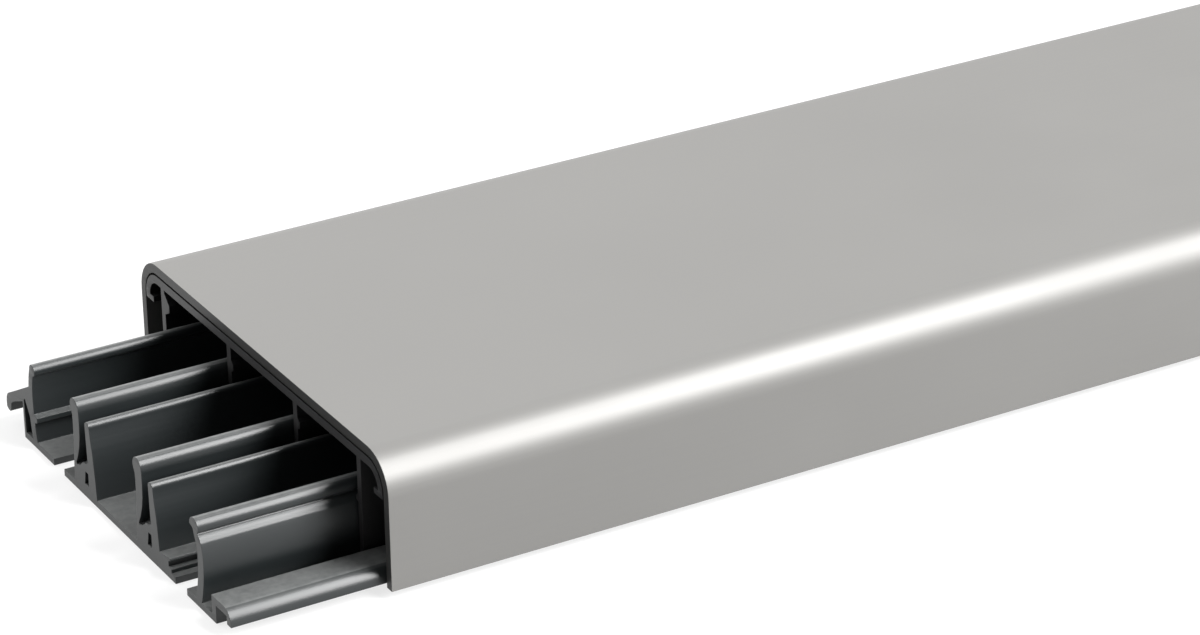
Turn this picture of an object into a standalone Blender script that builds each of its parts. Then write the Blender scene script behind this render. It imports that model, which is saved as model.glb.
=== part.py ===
"""Cable raceway: a three-compartment plastic base, an aluminium cover and the cover's inner clip profile.

Metres, +Z up. X runs along the stock, with the base's open end at -X. Every section is drawn in the
Y-Z plane, seen from -X. The origin is the middle of the underside, so the raceway lies on Z = 0.
"""
import math

import bmesh
import bpy
from mathutils import Matrix

MM = 0.001

# Driving dimensions of the stock and its cover
STOCK_LENGTH = 2000 * MM
COVER_WIDTH = 75 * MM
COVER_HEIGHT = 20 * MM
COVER_WALL = 1.4 * MM
COVER_CORNER = 5.5 * MM
COVER_FOOT = 1.0 * MM
COVER_SETBACK = 22.3 * MM
FIT_GAP = 0.3 * MM

# Driving dimensions of the base's section, with each outer wall as its bulge and its bow
FLOOR = 1.0 * MM
FAR_THICKNESS = 1.3 * MM
NEAR_THICKNESS = 1.7 * MM
LIP_REACH = 35.8 * MM
WALL_HEIGHT = 13.0 * MM
BULGE_HEIGHT = 7.5 * MM
FOOT_SPAN = 9.0 * MM
FAR_WALL = (26.0 * MM, 1.2 * MM)
NEAR_WALL = (26.6 * MM, 2.2 * MM)
FAR_PAIR = 9.9 * MM
NEAR_PAIR = -10.2 * MM
LEG = 2.1 * MM
SLOT_FOOT = 4.2 * MM
SLOT_MOUTH = 11.0 * MM
ARM_ROOT = 9 * MM

# Fixing slots through the floors of the two outer compartments
SLOT_ROWS = (18.1 * MM, -20.9 * MM)
SLOT_WIDTH = 3.4 * MM
SLOT_LENGTH = 12 * MM
SLOT_PITCH = 250 * MM
SLOTS_IN_ROW = 8

# Driving dimensions of the clip profile inside the cover
CLIP_PLATE = 1.2 * MM
CLIP_SOFFIT = COVER_HEIGHT - COVER_WALL - FIT_GAP - CLIP_PLATE
HOOK_RIB = 1.1 * MM
SLOT_RIB = 1.2 * MM
FAR_RIB = 30.2 * MM
NEAR_RIB = 29.3 * MM
RIB_OFFSET = -0.8 * MM

ARC_STEPS = 10
EDGE_ANGLE = 20
WALL_STEPS = 7


def clear_scene():
    for scene_object in list(bpy.data.objects):
        bpy.data.objects.remove(scene_object, do_unlink=True)


def collection(name):
    new = bpy.data.collections.new(name)
    bpy.context.scene.collection.children.link(new)
    return new


def material(name, colour, roughness, metallic):
    new = bpy.data.materials.new(name)
    new.use_nodes = True
    shader = new.node_tree.nodes["Principled BSDF"]
    shader.inputs["Base Color"].default_value = (*colour, 1.0)
    shader.inputs["Roughness"].default_value = roughness
    shader.inputs["Metallic"].default_value = metallic
    return new


def arc(centre, radius, first, last, steps=ARC_STEPS):
    """Points on a circle from the first to the last angle, in degrees from +Y towards +Z."""
    angles = [math.radians(first + (last - first) * i / steps) for i in range(steps + 1)]
    return [(centre[0] + radius * math.cos(a), centre[1] + radius * math.sin(a)) for a in angles]


def millimetres(*points):
    return [(y * MM, z * MM) for y, z in points]


def rounded(centre, radius, first, last):
    """A small arc of the section, its centre and radius in millimetres."""
    steps = max(3, round(abs(last - first) / EDGE_ANGLE))
    return arc((centre[0] * MM, centre[1] * MM), radius * MM, first, last, steps)


def mirrored(points):
    """The points' mirror image across Y = 0, in the opposite order so that an outline goes on."""
    return [(-y, z) for y, z in reversed(points)]


def extrusion(name, outlines, length, matrix):
    """A closed mesh: flat outlines in the local X-Y plane, the inner ones as holes, extruded along local Z."""
    curve = bpy.data.curves.new(name, "CURVE")
    curve.dimensions = "2D"
    curve.fill_mode = "BOTH"
    curve.extrude = length / 2
    for outline in outlines:
        spline = curve.splines.new("POLY")
        spline.points.add(len(outline) - 1)
        for point, (u, v) in zip(spline.points, outline):
            point.co = (u, v, 0, 1)
        spline.use_cyclic_u = True
    drawn = bpy.data.objects.new(name + "_outline", curve)
    bpy.context.scene.collection.objects.link(drawn)
    drawn.matrix_world = matrix
    evaluated = drawn.evaluated_get(bpy.context.evaluated_depsgraph_get())
    mesh = bpy.data.meshes.new_from_object(evaluated)
    mesh.name = name
    bpy.data.objects.remove(drawn)
    shape = bmesh.new()
    shape.from_mesh(mesh)
    bmesh.ops.remove_doubles(shape, verts=shape.verts, dist=0.01 * MM)
    bmesh.ops.recalc_face_normals(shape, faces=shape.faces)
    shape.to_mesh(mesh)
    shape.free()
    solid = bpy.data.objects.new(name, mesh)
    solid.matrix_world = matrix
    return solid


def along_x(middle):
    """The placement that turns a drawn (Y, Z) section to run along X, centred at the given X."""
    turn = Matrix(((0, 0, 1), (1, 0, 0), (0, 1, 0))).to_4x4()
    return Matrix.Translation((middle, 0, 0)) @ turn


def outer_wall(height, wall):
    """The distance from the middle to a bowed outer wall's inner face; the wall is its bulge and its bow."""
    bulge, bow = wall
    span = WALL_HEIGHT - BULGE_HEIGHT if height > BULGE_HEIGHT else FOOT_SPAN
    return bulge - bow * ((height - BULGE_HEIGHT) / span) ** 2


def wall_face(wall, low, high, offset=0.0):
    """Points up an outer wall, on its inner face or an offset from it."""
    heights = [low + (high - low) * i / (WALL_STEPS - 1) for i in range(WALL_STEPS)]
    return [(outer_wall(z, wall) + offset, z) for z in heights]


def far_hook_arm():
    """The sloping arm outside the far wall, with a short rolled lip, from the underside up to the wall."""
    leg = millimetres((29.8, 0), (29.8, 5.6), (33.2, 4.1), (34.1, 3.4), (34.3, 2.2), (34.6, 2.0), (35.2, 2.0))
    lip = [(LIP_REACH, 2.3 * MM)] + arc((LIP_REACH - 1.8 * MM, 3.2 * MM), 1.8 * MM, 0, 70, 6)
    return leg + lip + [(outer_wall(ARM_ROOT, FAR_WALL) + FAR_THICKNESS, ARM_ROOT)]


def far_wall():
    """The far outer wall: up its outer face, over its beaded top, and down its inner face with a ledge."""
    outer = wall_face(FAR_WALL, ARM_ROOT, 11.8 * MM, FAR_THICKNESS)[1:]
    top = rounded((25.55, 12.1), 0.9, 0, 180) + millimetres((24.75, 11.7))
    inner = list(reversed(wall_face(FAR_WALL, 5.2 * MM, 11.2 * MM)))
    ledge = millimetres((25.0, 4.9), (25.0, 4.2))
    foot = list(reversed(wall_face(FAR_WALL, FLOOR, 3.9 * MM)))
    return outer + top + inner + ledge + foot


def near_wall():
    """The near outer wall, mirrored to +Y: inner face up, a bead, a groove and a shoulder, outer face down."""
    inner = wall_face(NEAR_WALL, FLOOR, 11.4 * MM)
    bead = rounded((25.9, 11.7), 1.3, 180, -15)
    groove = millimetres((26.85, 11.1))
    shoulder = rounded((26.5, 9.7), 1.3, 70, 20)
    outer = list(reversed(wall_face(NEAR_WALL, FLOOR, 9.9 * MM, NEAR_THICKNESS)))
    return inner + bead + groove + shoulder + outer


def near_flange():
    """The inverted-U flange outside the near wall, mirrored to +Y, from the groove's floor to the underside."""
    leg_in, leg_out, lip_in = 30.2 * MM, 31.4 * MM, LIP_REACH - 1.2 * MM
    top, soffit, lip_foot, corner = 3.8 * MM, 2.7 * MM, 1.5 * MM, 2.0 * MM
    shoulder = arc((LIP_REACH - corner, top - corner), corner, 90, 0, 6)
    hollow = [(lip_in, lip_foot), (lip_in, soffit), (leg_out, soffit), (leg_out, 0)]
    return [(leg_in, FLOOR), (leg_in, top)] + shoulder + [(LIP_REACH, lip_foot)] + hollow


def flare(height):
    """How far up its flare a slot's side is: 0 at the slot's mouth and 1 at its foot."""
    return (SLOT_MOUTH - height) / (SLOT_MOUTH - SLOT_FOOT)


def wall_pair(centre, step):
    """Two legs joined by a low web: over the beaded far leg, into the slot, and over the plain near leg."""
    heights = [z * MM for z in (5.4, 7.0, 8.6, 10.4)]
    far_face = [(0.1 * MM + LEG + 0.6 * MM * flare(z) ** 2, z) for z in heights]
    bead = millimetres((2.3, 11.5)) + rounded((1.5, 12.7), 1.3, -30, 180) + millimetres((0.1, 12.2))
    slot = [(0.1 * MM + 1.8 * MM * flare(z) ** 2.5, z) for z in reversed(heights)]
    web = millimetres((1.9, 4.2), (1.7, 3.9), (0.6, 4.3), (-0.3, 5.1), (-1.2, 5.2), (-2.0, 5.7))
    near_leg = millimetres((-1.9, 8.0)) + rounded((-2.5, 11.4), 0.7, 0, 180)
    near_face = millimetres((-3.45, 9.5), (-3.85, 7.5), (-4.2, 4.0))
    shelf = millimetres((-4.3, 2.6), (-7.5, 3.1), (-7.7, 2.8), (-7.0, 2.5), (-7.0, 1.7), (-7.8, 1.6), (-7.8, 1.0))
    foot = shelf if step else [(-4.4 * MM, FLOOR)]
    outline = [(2.9 * MM, FLOOR)] + far_face + bead + slot + web + near_leg + near_face + foot
    return [(centre + v, z) for v, z in outline]


def pair_hollow(centre):
    """The small hollow under a pair's web."""
    return [(centre + v, z) for v, z in millimetres((-1.9, 2.0), (-0.6, 2.0), (-1.0, 4.0), (-1.9, 4.0))]


def base_outlines():
    far_part = far_hook_arm() + far_wall() + wall_pair(FAR_PAIR, False) + wall_pair(NEAR_PAIR, True)
    near_part = [(-y, z) for y, z in near_wall() + near_flange()]
    hook_hollow = millimetres((26.9, 1.0), (29.2, 1.0), (29.3, 6.0), (28.9, 6.4), (27.5, 4.2))
    return [far_part + near_part, hook_hollow, pair_hollow(FAR_PAIR), pair_hollow(NEAR_PAIR)]


def slot_cutter(row_y, cutters):
    """A row of round-ended slots along X; the first one is cut open by the stock's end."""
    straight = (SLOT_LENGTH - SLOT_WIDTH) / 2
    right = arc((straight, 0), SLOT_WIDTH / 2, -90, 90)
    left = arc((-straight, 0), SLOT_WIDTH / 2, 90, 270)
    place = Matrix.Translation((-STOCK_LENGTH / 2, row_y, FLOOR / 2))
    cutter = extrusion("slot_cutter", [right + left], 3 * FLOOR, place)
    cutters.objects.link(cutter)
    cutter.display_type = "WIRE"
    cutter.hide_render = True
    row = cutter.modifiers.new("Row", "ARRAY")
    row.count = SLOTS_IN_ROW
    row.use_relative_offset = False
    row.use_constant_offset = True
    row.constant_offset_displace = (SLOT_PITCH, 0, 0)
    return cutter


def base(parts, cutters):
    solid = extrusion("base", base_outlines(), STOCK_LENGTH, along_x(0))
    parts.objects.link(solid)
    for row_y in SLOT_ROWS:
        cut = solid.modifiers.new("Fixing slots", "BOOLEAN")
        cut.operation = "DIFFERENCE"
        cut.object = slot_cutter(row_y, cutters)
    return solid


def shell_half(half_width, top, corner, wall, foot):
    """The +Y half of an upright U section: its outside from foot to top, and its inside from top to foot."""
    centre = (half_width - corner, top - corner)
    outside = [(half_width, foot)] + arc(centre, corner, 0, 90)
    inside = arc(centre, corner - wall, 90, 0) + [(half_width - wall, foot)]
    return outside, inside


def cover(parts):
    outside, inside = shell_half(COVER_WIDTH / 2, COVER_HEIGHT, COVER_CORNER, COVER_WALL, COVER_FOOT)
    outline = outside + mirrored(outside) + mirrored(inside) + inside
    solid = extrusion("cover", [outline], STOCK_LENGTH - COVER_SETBACK, along_x(COVER_SETBACK / 2))
    parts.objects.link(solid)
    return solid


def rib(centre, width, foot, barb_side, barb, barb_foot, barb_top):
    """A rib hanging from the clip's plate, barbed on one side, as outline points from -Y to +Y."""
    half, bevel = width / 2, width / 3
    tip = [(half, foot + bevel), (half - bevel, foot)]
    slope = [(half, barb_top), (half + barb, barb_top - barb), (half + barb, barb_foot + barb / 2), (half, barb_foot)]
    plain, barbed = [(half, CLIP_SOFFIT)] + tip, [(half, CLIP_SOFFIT)] + slope + tip
    near, far = (barbed, plain) if barb_side < 0 else (plain, barbed)
    return [(centre - v, z) for v, z in near] + [(centre + v, z) for v, z in reversed(far)]


def clip_profile(parts):
    """The dark profile inside the cover: a plate with lipped edges, two hook ribs and two slot ribs."""
    half_width = COVER_WIDTH / 2 - COVER_WALL - FIT_GAP
    corner = COVER_CORNER - COVER_WALL - FIT_GAP
    lip_foot, lip_top, lip_edge = 13.8 * MM, 14.6 * MM, half_width - 2.4 * MM
    outside, inside = shell_half(half_width, CLIP_SOFFIT + CLIP_PLATE, corner, CLIP_PLATE, lip_top)
    inner = inside + [(lip_edge, lip_top), (lip_edge, lip_foot)]
    outer = [(half_width, lip_foot)] + outside[1:]
    ribs = rib(-NEAR_RIB, HOOK_RIB, 2.6 * MM, 1, 0.6 * MM, 10.3 * MM, 11.6 * MM)
    for centre in (NEAR_PAIR, FAR_PAIR):
        ribs += rib(centre + RIB_OFFSET, SLOT_RIB, 5.9 * MM, -1, 0.6 * MM, 13.4 * MM, 15.2 * MM)
    ribs += rib(FAR_RIB, HOOK_RIB, 8.4 * MM, -1, 1.4 * MM, 13.4 * MM, 16.6 * MM)
    outline = outer + mirrored(outer) + mirrored(inner) + ribs + inner
    solid = extrusion("clip_profile", [outline], STOCK_LENGTH - COVER_SETBACK, along_x(COVER_SETBACK / 2))
    parts.objects.link(solid)
    return solid


def finish(solid, look):
    solid.data.materials.clear()
    solid.data.materials.append(look)
    solid.data.shade_smooth()
    solid.data.set_sharp_from_angle(angle=math.radians(25))


def main():
    clear_scene()
    parts = collection("cable_raceway")
    cutters = collection("cutters")
    plastic = material("anthracite_plastic", (0.045, 0.05, 0.052), 0.35, 0.0)
    metal = material("satin_aluminium", (0.62, 0.615, 0.6), 0.3, 1.0)
    clip_plastic = material("black_plastic", (0.03, 0.03, 0.032), 0.45, 0.0)
    finish(base(parts, cutters), plastic)
    finish(cover(parts), metal)
    finish(clip_profile(parts), clip_plastic)


main()
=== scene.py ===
"""Looks of the cable raceway: a dark plastic base, its aluminium cover and the cover's inner clip profile.

Metres. X runs along the stock with the base's open end at -X, +Z is up out of the cover's face, and the
raceway lies on Z = 0. The three solids come from the frame and keep their shape.
"""

from math import radians

import bpy
import numpy as np
from bpy.props import FloatProperty, FloatVectorProperty, PointerProperty
from mathutils import Matrix

bl_info = {
    "name": "Cable Raceway",
    "version": (1, 0, 0),
    "blender": (4, 5, 0),
    "location": "3D View > Sidebar > Raceway",
    "description": "Dresses the packed cable raceway and sets up its studio",
    "category": "Object",
}

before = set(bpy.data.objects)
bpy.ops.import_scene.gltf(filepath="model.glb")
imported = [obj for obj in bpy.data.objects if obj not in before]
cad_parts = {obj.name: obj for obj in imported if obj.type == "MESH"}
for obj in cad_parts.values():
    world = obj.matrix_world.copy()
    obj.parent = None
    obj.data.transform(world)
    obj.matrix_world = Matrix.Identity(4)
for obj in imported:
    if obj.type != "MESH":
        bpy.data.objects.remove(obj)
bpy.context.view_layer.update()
MM = 0.001

# Finishes: the cut ends of each piece, the dusting and painted top light on the base, how far the roughness
# varies, and the gloss
BASE_CUT_COLOUR = (0.022, 0.024, 0.024)
COVER_CUT_COLOUR = (0.02, 0.02, 0.0195)
CLIP_CUT_COLOUR = (0.006, 0.006, 0.0065)
CUT_ROUGHNESS = 0.5
COVER_METALLIC = 0.3
# Paler colour for faces that look up: a dusting together with painted light from above
DUSTING_AND_TOP_LIGHT_COLOUR = (0.083, 0.086, 0.085)
ROUGHNESS_SPREAD = 0.05
PLASTIC_IOR = 1.52

# Where the masks begin and are full, as parts of the normal that lie along X or Z
CUT_FACING = (0.75, 0.95)
UP_FACING = (0.9, 0.99)

# Patterns: the span of a noise that is stretched to 0 and 1, the least dusting and painted top light, the
# saw marks' turn in radians, and their shades of the cut's colour
LINE_SPAN = (0.25, 0.75)
NOISE_SPAN = (0.3, 0.7)
THINNEST_DUSTING_AND_TOP_LIGHT = 0.6
SAW_TURN = 0.35
SAW_SHADES = (0.85, 1.1)

# Sharp edges: the gap that is welded, and the angle in radians past which an edge is rounded
WELD_GAP = 0.005 * MM
SHARP_ANGLE = 0.6

# Studio: the floor, the softbox and the surroundings' limits along a direction's Y and X
FLOOR_HALF = 6.0
FLOOR_DROP = 0.1 * MM
FLOOR_ROUGHNESS = 0.9
SOFTBOX_PLACE = (-0.2, -0.86, 0.95)
SOFTBOX_SIZE = (0.68, 1.38)
SURROUND_DEPTH = (-0.3, 0.4)
SURROUND_SIDE = (0.2, 0.75)
SURROUND_SIDE_END = 0.1

# Camera: lens and sensor in mm, its place, and in degrees the azimuth and elevation that it looks from
CAMERA_LENS = 129.9
CAMERA_SENSOR = 36.0
CAMERA_RANGE = (0.01, 50.0)
CAMERA_PLACE = (-1.19919, -0.47534, 0.27814)
CAMERA_AZIMUTH = -120.041
CAMERA_ELEVATION = 25.901
CAMERA_ROLL = -0.751


# Shader helpers

def new_material(name):
    """An empty node material with its Principled shader and output, and the shader's node."""
    material = bpy.data.materials.new(name)
    material.use_nodes = True
    return material, material.node_tree, material.node_tree.nodes["Principled BSDF"]


def node(tree, kind, **settings):
    """A new node of that kind with its settings; a setting that names an input becomes its value."""
    new = tree.nodes.new(kind)
    for key, value in settings.items():
        if hasattr(new, key):
            setattr(new, key, value)
        else:
            new.inputs[key].default_value = value
    return new


def maths(tree, operation, first, second=None, third=None):
    """The output of a Math node whose inputs are sockets or numbers."""
    new = node(tree, "ShaderNodeMath", operation=operation)
    for socket, value in zip(new.inputs, (first, second, third)):
        if isinstance(value, bpy.types.NodeSocket):
            tree.links.new(value, socket)
        elif value is not None:
            socket.default_value = value
    return new.outputs[0]


def remap(tree, value, low, high, to_low=0.0, to_high=1.0):
    """The value's range from low to high, clamped and stretched onto another range."""
    new = node(tree, "ShaderNodeMapRange")
    tree.links.new(value, new.inputs["Value"])
    limits = {"From Min": low, "From Max": high, "To Min": to_low, "To Max": to_high}
    for key, number in limits.items():
        new.inputs[key].default_value = number
    return new.outputs["Result"]


def blend_colours(tree, factor, first, second):
    """The output of a colour Mix node; the colours are sockets or RGB values."""
    new = node(tree, "ShaderNodeMix", data_type="RGBA")
    tree.links.new(factor, new.inputs["Factor"])
    for key, colour in ((6, first), (7, second)):
        if isinstance(colour, bpy.types.NodeSocket):
            tree.links.new(colour, new.inputs[key])
        else:
            new.inputs[key].default_value = (*colour[:3], 1.0)
    return new.outputs[2]


def new_group(name, inputs, outputs):
    """An empty shader node group: its tree, its input node and its output node."""
    tree = bpy.data.node_groups.new(name, "ShaderNodeTree")
    for socket_name, kind, default in inputs:
        socket = tree.interface.new_socket(socket_name, in_out="INPUT", socket_type=kind)
        if default is not None:
            socket.default_value = default
    for socket_name, kind in outputs:
        tree.interface.new_socket(socket_name, in_out="OUTPUT", socket_type=kind)
    return tree, tree.nodes.new("NodeGroupInput"), tree.nodes.new("NodeGroupOutput")


def extrusion_lines_group():
    """Fine lines that a die leaves along X: noise on (x / Run, y / Spacing, z / Spacing), from 0 to 1."""
    tree, start, end = new_group(
        "Extrusion lines",
        [("Position", "NodeSocketVector", None), ("Spacing", "NodeSocketFloat", 0.4 * MM),
         ("Run", "NodeSocketFloat", 0.2)],
        [("Lines", "NodeSocketFloat")])
    axes = node(tree, "ShaderNodeSeparateXYZ")
    tree.links.new(start.outputs["Position"], axes.inputs[0])
    scaled = node(tree, "ShaderNodeCombineXYZ")
    tree.links.new(maths(tree, "DIVIDE", axes.outputs["X"], start.outputs["Run"]), scaled.inputs["X"])
    for axis in "YZ":
        across = maths(tree, "DIVIDE", axes.outputs[axis], start.outputs["Spacing"])
        tree.links.new(across, scaled.inputs[axis])
    noise = node(tree, "ShaderNodeTexNoise", Scale=1.0, Detail=3.0, Roughness=0.6)
    tree.links.new(scaled.outputs[0], noise.inputs["Vector"])
    tree.links.new(remap(tree, noise.outputs["Fac"], *LINE_SPAN), end.inputs["Lines"])
    return tree


def saw_cut_group():
    """A mask for faces square to X, and the saw's marks there.

    The marks are noise on (y / Spacing, z / Run), after a turn of 20 degrees about X.
    """
    tree, start, end = new_group(
        "Saw cut",
        [("Position", "NodeSocketVector", None), ("Normal", "NodeSocketVector", None),
         ("Spacing", "NodeSocketFloat", 0.25 * MM), ("Run", "NodeSocketFloat", 8 * MM)],
        [("Mask", "NodeSocketFloat"), ("Marks", "NodeSocketFloat")])
    facing = node(tree, "ShaderNodeSeparateXYZ")
    tree.links.new(start.outputs["Normal"], facing.inputs[0])
    along = maths(tree, "ABSOLUTE", facing.outputs["X"])
    tree.links.new(remap(tree, along, *CUT_FACING), end.inputs["Mask"])
    turn = node(tree, "ShaderNodeVectorRotate", rotation_type="X_AXIS", Angle=SAW_TURN)
    tree.links.new(start.outputs["Position"], turn.inputs["Vector"])
    axes = node(tree, "ShaderNodeSeparateXYZ")
    tree.links.new(turn.outputs[0], axes.inputs[0])
    scaled = node(tree, "ShaderNodeCombineXYZ")
    tree.links.new(maths(tree, "DIVIDE", axes.outputs["Y"], start.outputs["Spacing"]), scaled.inputs["X"])
    tree.links.new(maths(tree, "DIVIDE", axes.outputs["Z"], start.outputs["Run"]), scaled.inputs["Y"])
    noise = node(tree, "ShaderNodeTexNoise", Scale=1.0, Detail=2.0, Roughness=0.5)
    tree.links.new(scaled.outputs[0], noise.inputs["Vector"])
    tree.links.new(remap(tree, noise.outputs["Fac"], *NOISE_SPAN), end.inputs["Marks"])
    return tree


def mottling_group():
    """Slow unevenness of a surface: two octaves of noise on the position over Size, from 0 to 1."""
    tree, start, end = new_group(
        "Mottling",
        [("Position", "NodeSocketVector", None), ("Size", "NodeSocketFloat", 30 * MM)],
        [("Mottling", "NodeSocketFloat")])
    scale = maths(tree, "DIVIDE", 1.0, start.outputs["Size"])
    noise = node(tree, "ShaderNodeTexNoise", Detail=2.0, Roughness=0.5)
    tree.links.new(start.outputs["Position"], noise.inputs["Vector"])
    tree.links.new(scale, noise.inputs["Scale"])
    tree.links.new(remap(tree, noise.outputs["Fac"], *NOISE_SPAN), end.inputs["Mottling"])
    return tree


def dusting_and_top_light_group():
    """A mask for faces that look up, which get a dusting and painted light from above.

    It grows with the normal's Z past the first limit, and noise on (position / Size) thins it.
    """
    tree, start, end = new_group(
        "Dusting and painted top light",
        [("Position", "NodeSocketVector", None), ("Normal", "NodeSocketVector", None),
         ("Size", "NodeSocketFloat", 1 * MM)],
        [("Dusting and Top Light", "NodeSocketFloat")])
    facing = node(tree, "ShaderNodeSeparateXYZ")
    tree.links.new(start.outputs["Normal"], facing.inputs[0])
    level = remap(tree, facing.outputs["Z"], *UP_FACING)
    noise = node(tree, "ShaderNodeTexNoise", Detail=3.0, Roughness=0.6)
    tree.links.new(start.outputs["Position"], noise.inputs["Vector"])
    tree.links.new(maths(tree, "DIVIDE", 1.0, start.outputs["Size"]), noise.inputs["Scale"])
    grain = remap(tree, noise.outputs["Fac"], *NOISE_SPAN, THINNEST_DUSTING_AND_TOP_LIGHT, 1.0)
    tree.links.new(maths(tree, "MULTIPLY", level, grain), end.inputs["Dusting and Top Light"])
    return tree


def shared_group(name, build):
    """The node group of that name, built the first time that a material asks for it."""
    return bpy.data.node_groups.get(name) or build()


def place_group(tree, name, build, links, **values):
    """A group's node in a material, with its inputs linked or set."""
    new = node(tree, "ShaderNodeGroup", node_tree=shared_group(name, build))
    for key, socket in links.items():
        tree.links.new(socket, new.inputs[key])
    for key, value in values.items():
        new.inputs[key].default_value = value
    return new.outputs


def soften_edges(solid, width):
    """Welds the solid's loose triangles and rounds its sharp edges, without touching its own mesh."""
    weld = solid.modifiers.new("Weld", "WELD")
    weld.merge_threshold = WELD_GAP
    bevel = solid.modifiers.new("Soft edges", "BEVEL")
    bevel.width = width
    bevel.segments = 2
    bevel.limit_method = "ANGLE"
    bevel.angle_limit = SHARP_ANGLE
    bevel.miter_outer = "MITER_ARC"
    normals = solid.modifiers.new("Normals", "WEIGHTED_NORMAL")
    normals.keep_sharp = False


def dress(solid_name, material):
    """Puts the material in every slot of a frame solid."""
    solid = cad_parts[solid_name]
    for place in solid.material_slots:
        place.material = material
    return solid


def extruded_material(name, look, cut_colour, metallic=0.0):
    """An extruded finish: die lines along X, slow mottling, and saw marks on the cut ends."""
    material, tree, shader = new_material(name)
    position = node(tree, "ShaderNodeTexCoord").outputs["Object"]
    normal = node(tree, "ShaderNodeNewGeometry").outputs["True Normal"]
    lines = place_group(tree, "Extrusion lines", extrusion_lines_group, {"Position": position},
                        Spacing=look.line_spacing, Run=look.line_run)["Lines"]
    cut = place_group(tree, "Saw cut", saw_cut_group, {"Position": position, "Normal": normal})
    mottling = place_group(tree, "Mottling", mottling_group, {"Position": position},
                           Size=look.mottling_size)["Mottling"]
    dusting_and_top_light = place_group(tree, "Dusting and painted top light", dusting_and_top_light_group,
                       {"Position": position, "Normal": normal})["Dusting and Top Light"]

    colour = np.array(look.colour)
    dark_cut, pale_cut = np.outer(SAW_SHADES, cut_colour)
    shade = maths(tree, "MULTIPLY_ADD", lines, 0.5, maths(tree, "MULTIPLY", mottling, 0.5))
    face = blend_colours(tree, shade, colour * (1 - look.variation), colour * (1 + look.variation))
    # Paler colour on faces that look up: a dusting together with painted light from above
    face = blend_colours(tree, maths(tree, "MULTIPLY", dusting_and_top_light, look.dusting_and_top_light), face, DUSTING_AND_TOP_LIGHT_COLOUR)
    cut_face = blend_colours(tree, cut["Marks"], dark_cut, pale_cut)
    tree.links.new(blend_colours(tree, cut["Mask"], face, cut_face), shader.inputs["Base Color"])

    rough = remap(tree, shade, 0.0, 1.0,
                  look.roughness - ROUGHNESS_SPREAD, look.roughness + ROUGHNESS_SPREAD)
    to_cut = maths(tree, "SUBTRACT", CUT_ROUGHNESS, rough)
    tree.links.new(maths(tree, "MULTIPLY_ADD", cut["Mask"], to_cut, rough), shader.inputs["Roughness"])
    shader.inputs["Metallic"].default_value = metallic
    shader.inputs["IOR"].default_value = PLASTIC_IOR

    height = node(tree, "ShaderNodeMix", data_type="FLOAT")
    tree.links.new(cut["Mask"], height.inputs["Factor"])
    tree.links.new(lines, height.inputs[2])
    tree.links.new(cut["Marks"], height.inputs[3])
    bump = node(tree, "ShaderNodeBump", Strength=1.0, Distance=look.line_depth)
    tree.links.new(height.outputs[0], bump.inputs["Height"])
    tree.links.new(bump.outputs["Normal"], shader.inputs["Normal"])
    return material


# Settings that a user would change

class FinishSettings(bpy.types.PropertyGroup):
    """Finish of one extruded piece."""
    colour: FloatVectorProperty(name="Colour", description="Colour of the extruded faces", subtype="COLOR",
                                size=3, min=0.0, max=1.0, default=(0.0085, 0.0107, 0.0113))
    roughness: FloatProperty(name="Roughness", description="How matt the extruded faces are",
                             subtype="FACTOR", min=0.05, max=1.0, default=0.41)
    variation: FloatProperty(name="Variation", description="How much the colour varies along the die lines",
                             subtype="FACTOR", min=0.0, max=1.0, default=0.08)
    line_spacing: FloatProperty(name="Line Spacing", description="Distance between the die lines",
                                subtype="DISTANCE", unit="LENGTH", min=0.00005, default=0.0005)
    line_run: FloatProperty(name="Line Run", description="Length over which a die line changes",
                            subtype="DISTANCE", unit="LENGTH", min=0.001, default=0.3)
    line_depth: FloatProperty(name="Line Depth", description="Depth of the die lines",
                              subtype="DISTANCE", unit="LENGTH", min=0.0, default=0.000003)
    mottling_size: FloatProperty(name="Mottling Size", description="Size of the slow unevenness",
                                 subtype="DISTANCE", unit="LENGTH", min=0.001, default=0.03)
    # How much paler colour the faces that look up get: a dusting together with painted top light
    dusting_and_top_light: FloatProperty(name="Dusting and Top Light", description="How much pale dust lies on the faces that look up",
                        subtype="FACTOR", min=0.0, max=1.0, default=0.0)
    edge_radius: FloatProperty(name="Edge Radius", description="Rounding of the sharp edges",
                               subtype="DISTANCE", unit="LENGTH", min=0.0, default=0.00012)


class StudioSettings(bpy.types.PropertyGroup):
    """Floor, light and surroundings."""
    floor_colour: FloatVectorProperty(name="Floor", description="Colour of the floor", subtype="COLOR",
                                      size=3, min=0.0, max=1.0, default=(0.15, 0.15, 0.15))
    floor_glow: FloatProperty(name="Floor Glow", description="Light of the floor itself, as of a lit table",
                              min=0.0, default=0.76)
    softbox_power: FloatProperty(name="Softbox", description="Power of the softbox above the near side",
                                 subtype="POWER", min=0.0, default=90.0)
    front: FloatProperty(name="Front", description="Brightness of the surroundings behind the camera",
                         min=0.0, default=0.15)
    back: FloatProperty(name="Back", description="Brightness of the surroundings beyond the raceway",
                        min=0.0, default=2.5)


class RacewaySettings(bpy.types.PropertyGroup):
    """All settings of the raceway's looks."""
    base: PointerProperty(type=FinishSettings, name="Base", description="Finish of the plastic base")
    cover: PointerProperty(type=FinishSettings, name="Cover", description="Finish of the aluminium cover")
    clip: PointerProperty(type=FinishSettings, name="Clip Profile",
                          description="Finish of the clip profile")
    studio: PointerProperty(type=StudioSettings, name="Studio", description="Floor, light and surroundings")


# One operator for each piece and one for the stage

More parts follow.
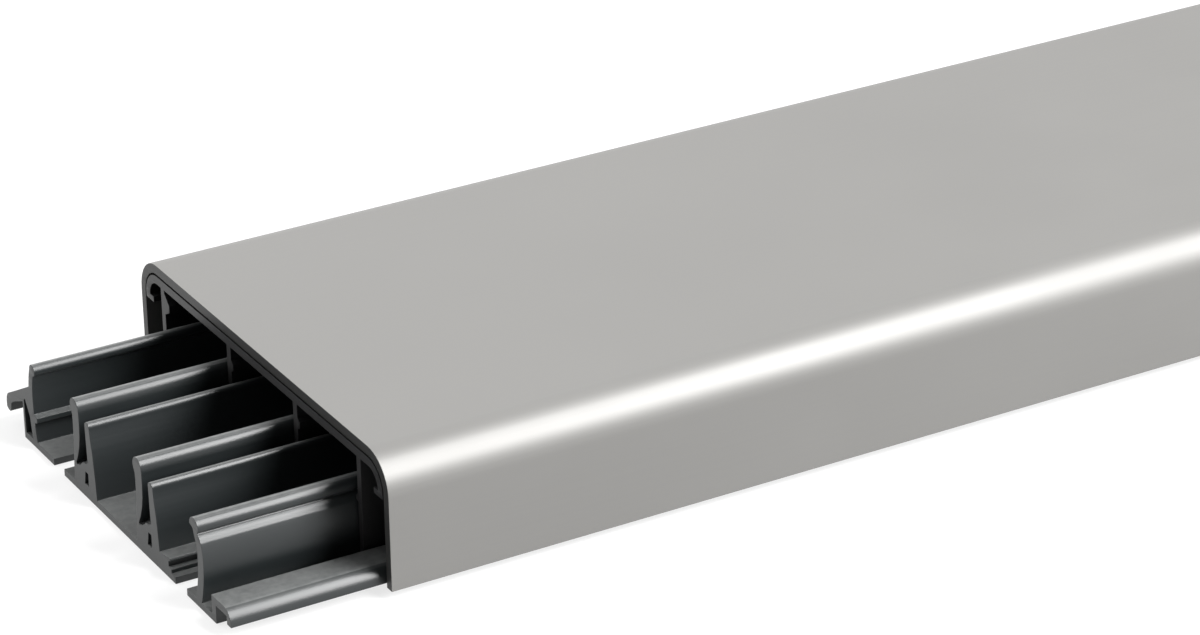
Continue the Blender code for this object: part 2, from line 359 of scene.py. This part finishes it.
class RACEWAY_OT_dress_base(bpy.types.Operator):
    """Give the base its dark semi-gloss extruded plastic"""
    bl_idname = "raceway.dress_base"
    bl_label = "Dress Base"

    def execute(self, context):
        look = context.scene.raceway.base
        material = extruded_material("anthracite_plastic_extruded", look, BASE_CUT_COLOUR)
        soften_edges(dress("base", material), look.edge_radius)
        return {"FINISHED"}


class RACEWAY_OT_dress_cover(bpy.types.Operator):
    """Give the cover its satin anodised aluminium with dark sawn ends"""
    bl_idname = "raceway.dress_cover"
    bl_label = "Dress Cover"

    def execute(self, context):
        look = context.scene.raceway.cover
        material = extruded_material("aluminium_satin_anodised", look, COVER_CUT_COLOUR, COVER_METALLIC)
        soften_edges(dress("cover", material), look.edge_radius)
        return {"FINISHED"}


class RACEWAY_OT_dress_clip_profile(bpy.types.Operator):
    """Give the clip profile its nearly black satin plastic"""
    bl_idname = "raceway.dress_clip_profile"
    bl_label = "Dress Clip Profile"

    def execute(self, context):
        look = context.scene.raceway.clip
        material = extruded_material("black_plastic_extruded", look, CLIP_CUT_COLOUR)
        soften_edges(dress("clip_profile", material), look.edge_radius)
        return {"FINISHED"}


class RACEWAY_OT_build_studio(bpy.types.Operator):
    """Lay the glowing floor, hang the soft light and place the camera"""
    bl_idname = "raceway.build_studio"
    bl_label = "Build Studio"

    def execute(self, context):
        studio = context.scene.raceway.studio
        build_floor(studio)
        build_surroundings(studio)
        hang_softbox(studio.softbox_power)
        place_camera(context.scene)
        context.scene.view_settings.view_transform = "Standard"
        return {"FINISHED"}


def build_floor(studio):
    """A flat square just under the raceway, which gives off light of its own."""
    corners = FLOOR_HALF * np.array([(-1, -1), (1, -1), (1, 1), (-1, 1)])
    points = np.column_stack([corners, np.full(4, -FLOOR_DROP)])
    mesh = bpy.data.meshes.new("floor")
    mesh.from_pydata(points.tolist(), [], [(0, 1, 2, 3)])
    floor = bpy.data.objects.new("floor", mesh)
    bpy.context.scene.collection.objects.link(floor)
    material, tree, shader = new_material("floor_paper")
    shader.inputs["Base Color"].default_value = (*studio.floor_colour, 1.0)
    shader.inputs["Roughness"].default_value = FLOOR_ROUGHNESS
    shader.inputs["Emission Color"].default_value = (1.0, 1.0, 1.0, 1.0)
    shader.inputs["Emission Strength"].default_value = studio.floor_glow
    mesh.materials.append(material)


def build_surroundings(studio):
    """A white surround: front to back along the direction's Y, dimmed along its X."""
    world = bpy.data.worlds.new("studio")
    world.use_nodes = True
    tree = world.node_tree
    direction = node(tree, "ShaderNodeTexCoord").outputs["Generated"]
    axes = node(tree, "ShaderNodeSeparateXYZ")
    tree.links.new(direction, axes.inputs[0])
    depth = remap(tree, axes.outputs["Y"], *SURROUND_DEPTH, studio.front, studio.back)
    side = remap(tree, axes.outputs["X"], *SURROUND_SIDE, 1.0, SURROUND_SIDE_END)
    tree.links.new(maths(tree, "MULTIPLY", depth, side), tree.nodes["Background"].inputs["Strength"])
    tree.nodes["Background"].inputs["Color"].default_value = (1.0, 1.0, 1.0, 1.0)
    bpy.context.scene.world = world


def hang_softbox(power):
    """A rectangular light above the near side, level in X, that faces the raceway's axis."""
    light = bpy.data.lights.new("softbox", "AREA")
    light.shape = "RECTANGLE"
    light.size, light.size_y = SOFTBOX_SIZE
    light.energy = power
    softbox = bpy.data.objects.new("softbox", light)
    bpy.context.scene.collection.objects.link(softbox)
    across = np.array((1.0, 0.0, 0.0))
    back = np.array((0.0, *SOFTBOX_PLACE[1:])) / np.linalg.norm(SOFTBOX_PLACE[1:])
    up = np.cross(back, across)
    turn = Matrix(np.column_stack([across, up, back]).tolist()).to_4x4()
    softbox.matrix_world = Matrix.Translation(SOFTBOX_PLACE) @ turn


def place_camera(scene):
    """A long lens above the near side, beyond the open end."""
    data = bpy.data.cameras.new("camera")
    data.lens = CAMERA_LENS
    data.sensor_width = CAMERA_SENSOR
    data.clip_start, data.clip_end = CAMERA_RANGE
    camera = bpy.data.objects.new("camera", data)
    scene.collection.objects.link(camera)
    azimuth = Matrix.Rotation(radians(CAMERA_AZIMUTH + 90), 4, "Z")
    elevation = Matrix.Rotation(radians(90 - CAMERA_ELEVATION), 4, "X")
    roll = Matrix.Rotation(radians(CAMERA_ROLL), 4, "Z")
    camera.matrix_world = Matrix.Translation(CAMERA_PLACE) @ azimuth @ elevation @ roll
    scene.camera = camera


class RACEWAY_PT_panel(bpy.types.Panel):
    """Lists the raceway's pieces and its studio"""
    bl_idname = "RACEWAY_PT_panel"
    bl_label = "Cable Raceway"
    bl_space_type = "VIEW_3D"
    bl_region_type = "UI"
    bl_category = "Raceway"

    def draw(self, context):
        settings = context.scene.raceway
        for look, operator in ((settings.base, RACEWAY_OT_dress_base),
                               (settings.cover, RACEWAY_OT_dress_cover),
                               (settings.clip, RACEWAY_OT_dress_clip_profile),
                               (settings.studio, RACEWAY_OT_build_studio)):
            box = self.layout.box()
            box.operator(operator.bl_idname)
            for key in look.bl_rna.properties.keys():
                if key not in {"rna_type", "name"}:
                    box.prop(look, key)


CLASSES = (FinishSettings, StudioSettings, RacewaySettings, RACEWAY_OT_dress_base, RACEWAY_OT_dress_cover,
           RACEWAY_OT_dress_clip_profile, RACEWAY_OT_build_studio, RACEWAY_PT_panel)


def register():
    for item in CLASSES:
        bpy.utils.register_class(item)
    bpy.types.Scene.raceway = PointerProperty(type=RacewaySettings)


def unregister():
    del bpy.types.Scene.raceway
    for item in reversed(CLASSES):
        bpy.utils.unregister_class(item)


def main():
    register()
    settings = bpy.context.scene.raceway
    # The base's faces that look up get the full dusting and painted top light
    settings.base.dusting_and_top_light = 1.0
    settings.cover.colour = (0.14, 0.138, 0.1325)
    settings.cover.roughness = 0.5
    settings.cover.variation = 0.04
    settings.clip.colour = (0.004, 0.004, 0.0045)
    settings.clip.roughness = 0.45
    bpy.ops.raceway.dress_base()
    bpy.ops.raceway.dress_cover()
    bpy.ops.raceway.dress_clip_profile()
    bpy.ops.raceway.build_studio()


if __name__ == "__main__":
    main()
